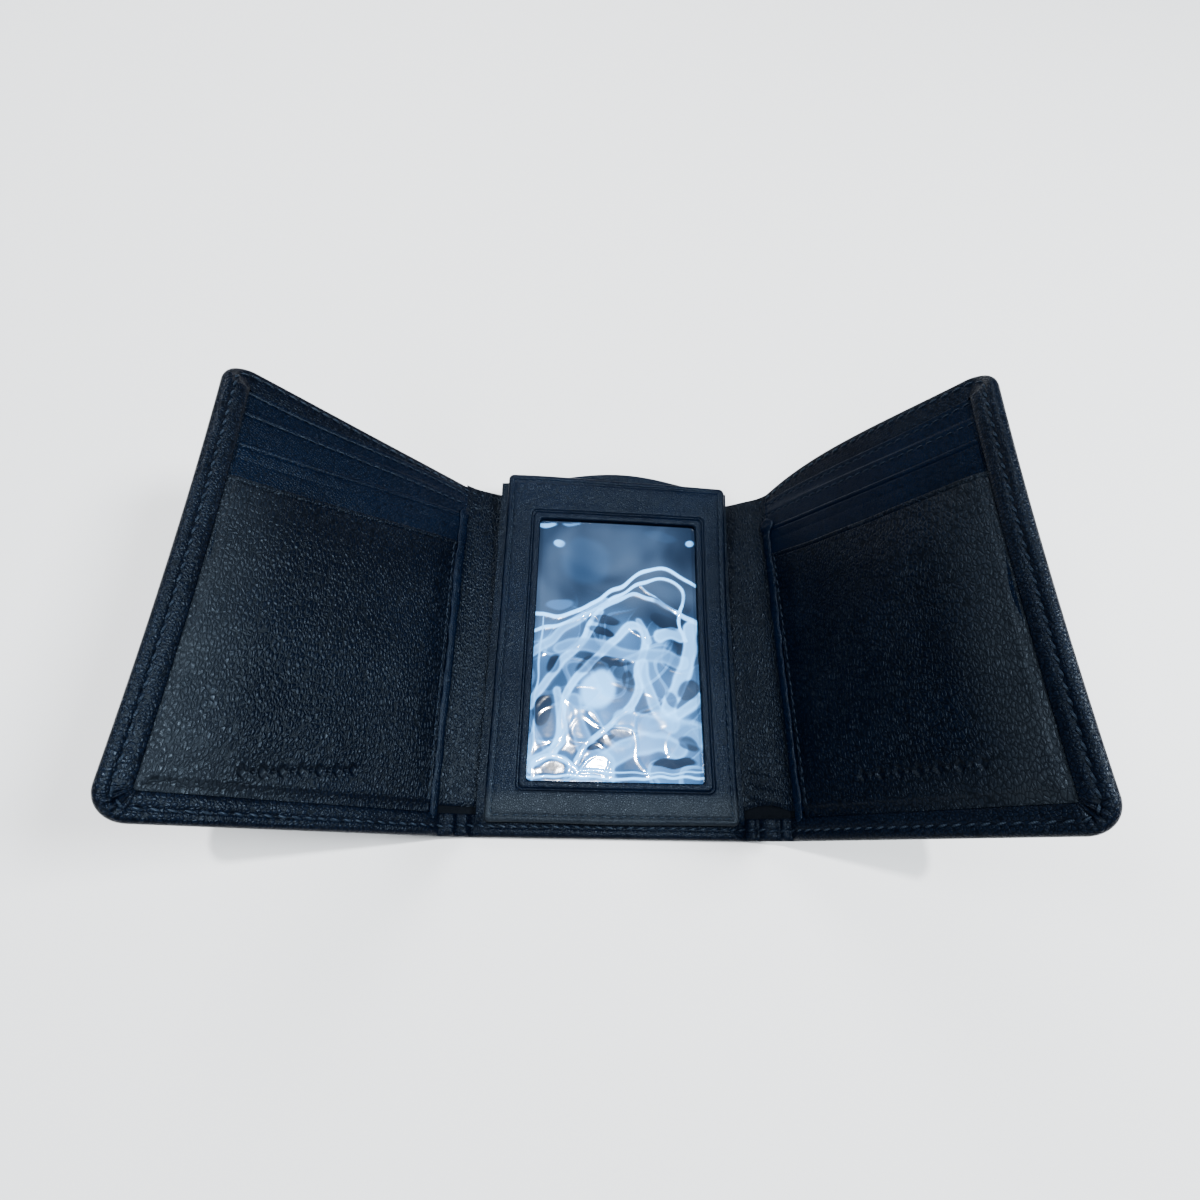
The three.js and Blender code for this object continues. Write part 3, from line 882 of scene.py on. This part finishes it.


# Folds in the vinyl: (half width, paleness, points); their pale is partly milky vinyl and partly painted
# highlight. Points are shares of the window's width and height.
FOLDS = (
    (0.75, 0.95, ((0, .617), (.1, .603), (.25, .627), (.4, .694), (.55, .751), (.66, .804), (.765, .826),
        (.87, .809), (1, .755))),
    (0.7, 0.9, ((0, .55), (.175, .579), (.325, .627), (.475, .694), (.64, .756), (.755, .78), (.86, .77),
        (.925, .732), (.925, .684), (.89, .646), (.88, .59), (.93, .53))),
    (0.4, 0.8, ((.655, .746), (.73, .703), (.835, .656), (.94, .617), (1, .603))),
    (1.5, 0.6, ((0, .46), (.08, .5), (.15, .55), (.3, .617), (.42, .675))),
    (0.9, 0.75, ((.28, .5), (.34, .6), (.4, .645), (.5, .69), (.6, .713), (.71, .694), (.85, .646), (1, .6))),
    (1.3, 0.7, ((0, .26), (.06, .33), (.12, .397), (.25, .474), (.33, .55), (.4, .63))),
    (1.3, 0.8, ((.15, .1), (.17, .187), (.2, .311), (.29, .397), (.43, .483), (.52, .55), (.6, .585),
        (.66, .565), (.68, .51), (.635, .426), (.63, .32), (.57, .26))),
    (2.2, 0.5, ((.16, .483), (.26, .502), (.41, .493), (.58, .454), (.73, .474), (.9, .44))),
    (2.2, 0.75, ((.77, .545), (.83, .56), (.89, .55))),
    (1.2, 0.6, ((.64, .6), (.66, .57), (.69, .52))),
    (2.5, 0.8, ((.96, .58), (.95, .474), (.88, .359), (.8, .26), (.82, .206))),
    (1.5, 0.75, ((.81, .225), (.92, .263), (1, .311))),
    (1.7, 0.65, ((.66, .43), (.67, .36), (.72, .28), (.8, .2))),
    (1, 0.7, ((.28, .07), (.32, .12), (.41, .177), (.5, .22), (.59, .263))),
    (1.4, 0.65, ((.15, .32), (.17, .25), (.2, .16), (.14, .1), (.02, .06))),
    (0.9, 0.75, ((.01, .033), (.05, .07), (.12, .085), (.2, .08), (.27, .043))),
    (3, 0.6, ((.46, .08), (.6, .13), (.74, .15), (.86, .12))),
    (3.4, 0.55, ((.55, .22), (.7, .2), (.85, .19), (.98, .17))),
    (2.6, 0.5, ((.25, .28), (.28, .18), (.34, .1), (.44, .06))),
    (0.5, 0.9, ((0, .012), (.3, .02), (.6, .014), (1, .022))),
    (0.35, 0.8, ((.3, .04), (.55, .036), (.8, .03), (1, .045))),
    (0.4, 0.7, ((.02, 0), (.03, .3), (.045, .6))),
)
# Pools: share across, share up, half sizes, lean in degrees, paleness, milky and painted highlight (below 0
# for a clear pool).
POOLS = (
    (.39, .33, 5.2, 7, -25, 0.8), (.14, .655, 4.6, 1.8, 8, 0.38), (.13, .905, 2, 1.3, 15, 0.75),
    (.04, .985, 3.4, 0.8, 0, 0.7), (.2, .99, 3, 0.6, 0, 0.5), (.97, .935, 1.5, 1.3, 0, 0.75),
    (.3, .84, 9, 8, -35, 0.16), (.78, .955, 6, 2, -10, 0.12), (.07, .244, 2.4, 4.6, -12, -0.5),
    (.93, .335, 3.6, 3, 20, -0.45), (.83, .072, 6.5, 1.4, 0, -0.6), (.43, .6, 5, 1.5, -10, -0.28),
    (.4, .555, 4.5, 1.4, -20, -0.3), (.8, .6, 4.5, 2, -28, -0.3), (.95, .7, 1.6, 4.5, 0, -0.25),
    (.5, .44, 5, 1.4, -10, -0.28), (.33, .425, 4.5, 2, 35, -0.28), (.57, .36, 1.8, 3.5, 0, -0.25),
    (.83, .3, 1.8, 3, 25, -0.3), (.44, .15, 3, 1, 20, -0.35), (.38, .12, 2.2, 1, 20, -0.35),
    (.92, .14, 3.4, 2, -30, -0.35), (.16, .05, 2.6, 1.2, 0, -0.35), (.12, .42, 2, 3.2, -30, -0.25),
    (.8, .67, 4, 2, -30, -0.3),
)
# Fine tangled creases: seed, wave length in mm, level of the field they follow, paleness, milky and painted
# highlight.
CREASES = ((103, 19, 0.1, 0.16), (107, 15, -0.2, 0.12), (109, 23, 0.35, 0.15))
FOLD_HEIGHT = 0.62


def distance_to_line(x, y, line):
    best = np.full(x.shape, np.inf)
    for (ax, ay), (bx, by) in zip(line[:-1], line[1:]):
        dx, dy = bx - ax, by - ay
        t = np.clip(((x - ax) * dx + (y - ay) * dy) / (dx * dx + dy * dy), 0, 1)
        best = np.minimum(best, np.hypot(x - ax - t * dx, y - ay - t * dy))
    return best


def softened(points):
    """Chaikin corner cutting, twice, for a smooth line through a few points."""
    p = np.array(points, float)
    for _ in range(2):
        a, b = p[:-1] * 0.75 + p[1:] * 0.25, p[:-1] * 0.25 + p[1:] * 0.75
        p = np.vstack([p[:1], np.stack([a, b], axis=1).reshape(-1, 2), p[-1:]])
    return p


def window_milk_and_glint(x, y):
    """How pale the vinyl is at each place, partly milky and partly painted highlight, and how high its folds
    stand.
    """
    width, height = OPEN_RIGHT - OPEN_LEFT, OPEN_HIGH - OPEN_LOW
    up = (y - OPEN_LOW) / height
    wx, wy = x + 0.5 * ripple(x, y, 71, 9), y + 0.5 * ripple(x, y, 73, 9)  # lines waver a little
    milk_and_glint = 0.06 + 0.09 * smooth((0.66 - up) / 0.1) + 0.1 * smooth((0.28 - up) / 0.25)
    milk_and_glint += 0.1 * ripple(x, y, 79, 14) * smooth((0.8 - up) / 0.3) + 0.03 * ripple(x, y, 83, 16)
    ridge = 0.18 * ripple(x, y, 89, 26)
    lower = smooth((0.60 - up + 0.12 * ripple(x, y, 101, 40)) / 0.12)
    tangled = x + 2.0 * ripple(x, y, 113, 20)
    for seed, wave, level, strength in CREASES:
        field = ripple(tangled, y, seed, wave) - level
        milk_and_glint += (strength * smooth((0.085 - np.abs(field)) / 0.05) + 0.07 * smooth(field / 0.06)) * lower
        ridge += 0.1 * smooth((0.2 - np.abs(field)) / 0.2) * lower
    for half, strength, shares in FOLDS:
        line = softened([(OPEN_LEFT + width * p, OPEN_LOW + height * q) for p, q in shares])
        d = distance_to_line(wx, wy, line)
        inside = smooth((half * 1.12 - d) / (0.35 + 0.25 * half))
        wide = half > 1  # a wide fold is thinner, with a painted highlight along its rim
        milk_and_glint += (strength - milk_and_glint) * inside * (0.72 if wide else 1)
        milk_and_glint += 0.16 * bump(d, half * 0.85, 0.35 + 0.1 * half) * strength * wide
        ridge += 0.16 * bump(d, 0, half)
    for p, q, rx, ry, lean, strength in POOLS:
        ahead, aside = cos(radians(lean)), sin(radians(lean))
        dx, dy = wx - OPEN_LEFT - width * p, wy - OPEN_LOW - height * q
        far = np.hypot((dx * ahead + dy * aside) / rx, (dy * ahead - dx * aside) / ry)
        inside = smooth((1.15 - far) / 0.4)
        milk_and_glint += (strength - milk_and_glint) * inside * 0.8 if strength > 0 else strength * inside
    return np.clip(milk_and_glint, 0.02, 1), ridge


def middle_grid(columns, rows, margin):
    x = np.linspace(OPEN_LEFT - margin, OPEN_RIGHT + margin, columns)[:, None]
    y = np.linspace(OPEN_LOW - margin, OPEN_HIGH + margin, rows)
    return x + 0 * y, y + 0 * x


def build_window():
    x, y = middle_grid(190, 300, 1.5)
    milk_and_glint, ridge = window_milk_and_glint(x, y)
    edge = np.minimum.reduce([x - x.min(), x.max() - x, y - y.min(), y.max() - y])
    z = VINYL_LEVEL + lift(x, y) + FOLD_HEIGHT * ridge * smooth((edge - 1.2) / 3)
    faces = [flat_middle(flat_grid(x, y, h)) for h in (z - 0.12, z)]
    obj = slab("window_vinyl", *faces, VINYL, {"milk_and_glint": milk_and_glint})
    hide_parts("id_window")
    flat_squash(obj)


def middle_sheet(name, x, y, under, thick, material):
    """A sheet of the middle panel with rounded ends; x, y and under are its underside."""
    upper = under + thick * (0.3 + 0.7 * rounded(np.minimum(y[:, -1:] - y, y - y[:, :1]), 0.5))
    return slab(name, *(flat_middle(flat_grid(x, y, z)) for z in (under, upper)), material)


def build_backing():
    x, y = middle_grid(60, 80, 4)
    under = CARD_LEVEL + lift(x, y) + 0.05 * ripple(x, y, 97, 20)
    card = middle_sheet("window_backing", x, y, under, 0.25, CARD_CLOTH)
    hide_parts("id_backing")
    flat_squash(card)


WALL_LEFT, WALL_RIGHT, WALL_LOW, WALL_TOP = -38.3, 37.0, -50.4, 56.1
WALL_ARCH = 4.9  # how far the middle of its top edge stands proud


def build_inner_wall():
    """The wall behind the card window; its top edge is a low arch."""
    x = np.linspace(WALL_LEFT, WALL_RIGHT, 90)[:, None]
    rows = np.hstack([np.linspace(0, 0.95, 70), np.linspace(0.95, 1, 24)[1:]])
    y = WALL_LOW + (WALL_TOP + WALL_ARCH * bump(x, 1, 25) - WALL_LOW) * rows
    x = x + 0 * y
    under = WALL_LEVEL + 0.6 * smooth((30 - np.abs(x)) / 20) + 0.9 * lift(x, y)
    wall = middle_sheet("inner_wall", x, y, under, 0.6, SMOOTH)
    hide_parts("inner_wall_middle")
    flat_squash(wall)


# ---- stitching

def build_hem_stitches(side):
    low, high = half_edges(side)
    half_runs = (low[0][:, MIDDLE_SEAM], high[0][:, LIP_SEAM])
    wing_runs = (wing_edge(side)[0][:, LIP_SEAM],)
    for name, runs, fold in (("hem_stitches", half_runs, FIRST), ("hem_stitches_wing", wing_runs, SECOND)):
        surface = Surface()
        for run in runs:
            thread_run(surface, side.place, run + np.array([0, 0, 0.12]), radius=0.31, lean=0.24)
        bend(side, surface.mesh(f"{name}_{side.name}", THREAD), fold)


def build_pocket_stitches(side):
    surface = Surface()
    u = np.linspace(4, side.wing - 6.5, 60)
    for line, level, inset in ((PANEL_TOP, 1.62, TOP_CREASE), (SEAM_LINE, 1.88, PANEL_SEAM)):
        run = np.stack([side.second + u, along(line)(u) - inset, 0 * u + level], axis=1)
        thread_run(surface, side.place, run, pitch=2.5, radius=0.17)
    y = np.linspace(-46, along(POCKET_TOP[side.name])(6) - 1, 60)
    hinge = POCKET.hinge + POCKET_LEAN[side.name] * y / HALF + POCKET_SEAM
    run = np.stack([side.second + hinge, y, 0 * y + 2.9], axis=1)
    thread_run(surface, side.place, run, pitch=2.7, radius=0.17)
    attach(surface.mesh(f"pocket_stitches_{side.name}", THREAD), side.body("wing"))


def build_frame_stitches():
    surface = Surface()
    inset = 1.95
    left, low = FRAME_LEFT + inset, FRAME_LOW + inset
    y = np.linspace(50.5, low, 60)
    right = FRAME_RIGHT - inset + FRAME_LEAN * y / HALF
    x = np.linspace(left, right[-1], 40)
    for run in ((0 * y + left, y), (right, y), (x, 0 * x + low)):
        z = FRAME_FACE - 0.1 + lift(*run)
        thread_run(surface, flat_middle, np.column_stack([*run, z]), pitch=2.6, radius=0.2, lean=0.22)
    flat_squash(surface.mesh("window_frame_stitches", THREAD))


# ---- floor, light, camera

def build_floor():
    bpy.ops.mesh.primitive_plane_add(size=6)
    floor = bpy.context.object
    floor.name = "floor"
    n = Nodes("pale_floor", (0.39, 0.39, 0.393), 0.7)
    floor.data.materials.append(n.material)


# Lights: name, place, size, watts, tint. All of them point at the wallet.
LIGHTS = (
    ("key", (-0.35, 1.0, 0.85), (0.7, 0.5), 24, (1, 1, 1)),
    ("front", (-0.5, -1.0, 0.8), (0.7, 0.5), 16, (0.95, 0.98, 1.0)),
    ("right", (0.76, 0.05, 0.84), (0.28, 0.26), 50, (0.92, 0.97, 1.0)),
    ("left", (-0.69, 0.14, 0.78), (0.25, 0.16), 12, (0.9, 0.96, 1.0)),
    ("sun", (0.02, 0.09, 1.1), (0.04, 0.04), 29, (0.97, 0.985, 1.0)),
)


def build_lights():
    world = bpy.data.worlds.new("soft_sky")
    world.use_nodes = True
    sky = world.node_tree.nodes["Background"]
    sky.inputs["Color"].default_value = (0.66, 0.80, 1.0, 1)
    sky.inputs["Strength"].default_value = 0.15
    bpy.context.scene.world = world
    for name, place, size, power, tint in LIGHTS:
        data = bpy.data.lights.new(name, "AREA")
        data.shape, data.size, data.size_y = "RECTANGLE", *size
        data.energy, data.color = power, tint
        light = placed(name, data)
        light.location = place
        light.rotation_euler = (-Vector(place)).to_track_quat("-Z", "Y").to_euler()


CAMERA_PLACE = (-16.38, -59.6, 173.44)
CAMERA_TURN = (2.41, 20.99, -4.7)  # yaw, pitch and roll in degrees


def build_camera():
    data = bpy.data.cameras.new("camera")
    data.sensor_width, data.lens = 36, 17.58
    data.shift_x, data.shift_y = -0.0018, 0.0264
    data.clip_start = 0.005
    camera = placed("camera", data)
    yaw, pitch, roll = (radians(v) for v in CAMERA_TURN)
    turn = Euler((0, 0, yaw)).to_matrix() @ Euler((pitch, 0, 0)).to_matrix() @ Euler((0, roll, 0)).to_matrix()
    camera.rotation_euler = turn.to_euler()
    camera.location = np.array(CAMERA_PLACE) * MM
    bpy.context.scene.camera = camera


# ---- build

for side in SIDES:
    shell, shell_wing = half_shell(side), wing_shell(side)
    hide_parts("shell_middle", f"shell_spine_{side.name}")
    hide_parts(f"shell_wing_{side.name}")
    for build in (build_lining, build_gusset, build_inner_panel, build_slot_strip, build_front_pocket,
                  build_binding, build_hem_stitches, build_pocket_stitches):
        build(side)
for build in (build_backing, build_inner_wall, build_window, build_id_frame, build_frame_stitches,
              build_floor, build_lights, build_camera):
    build()
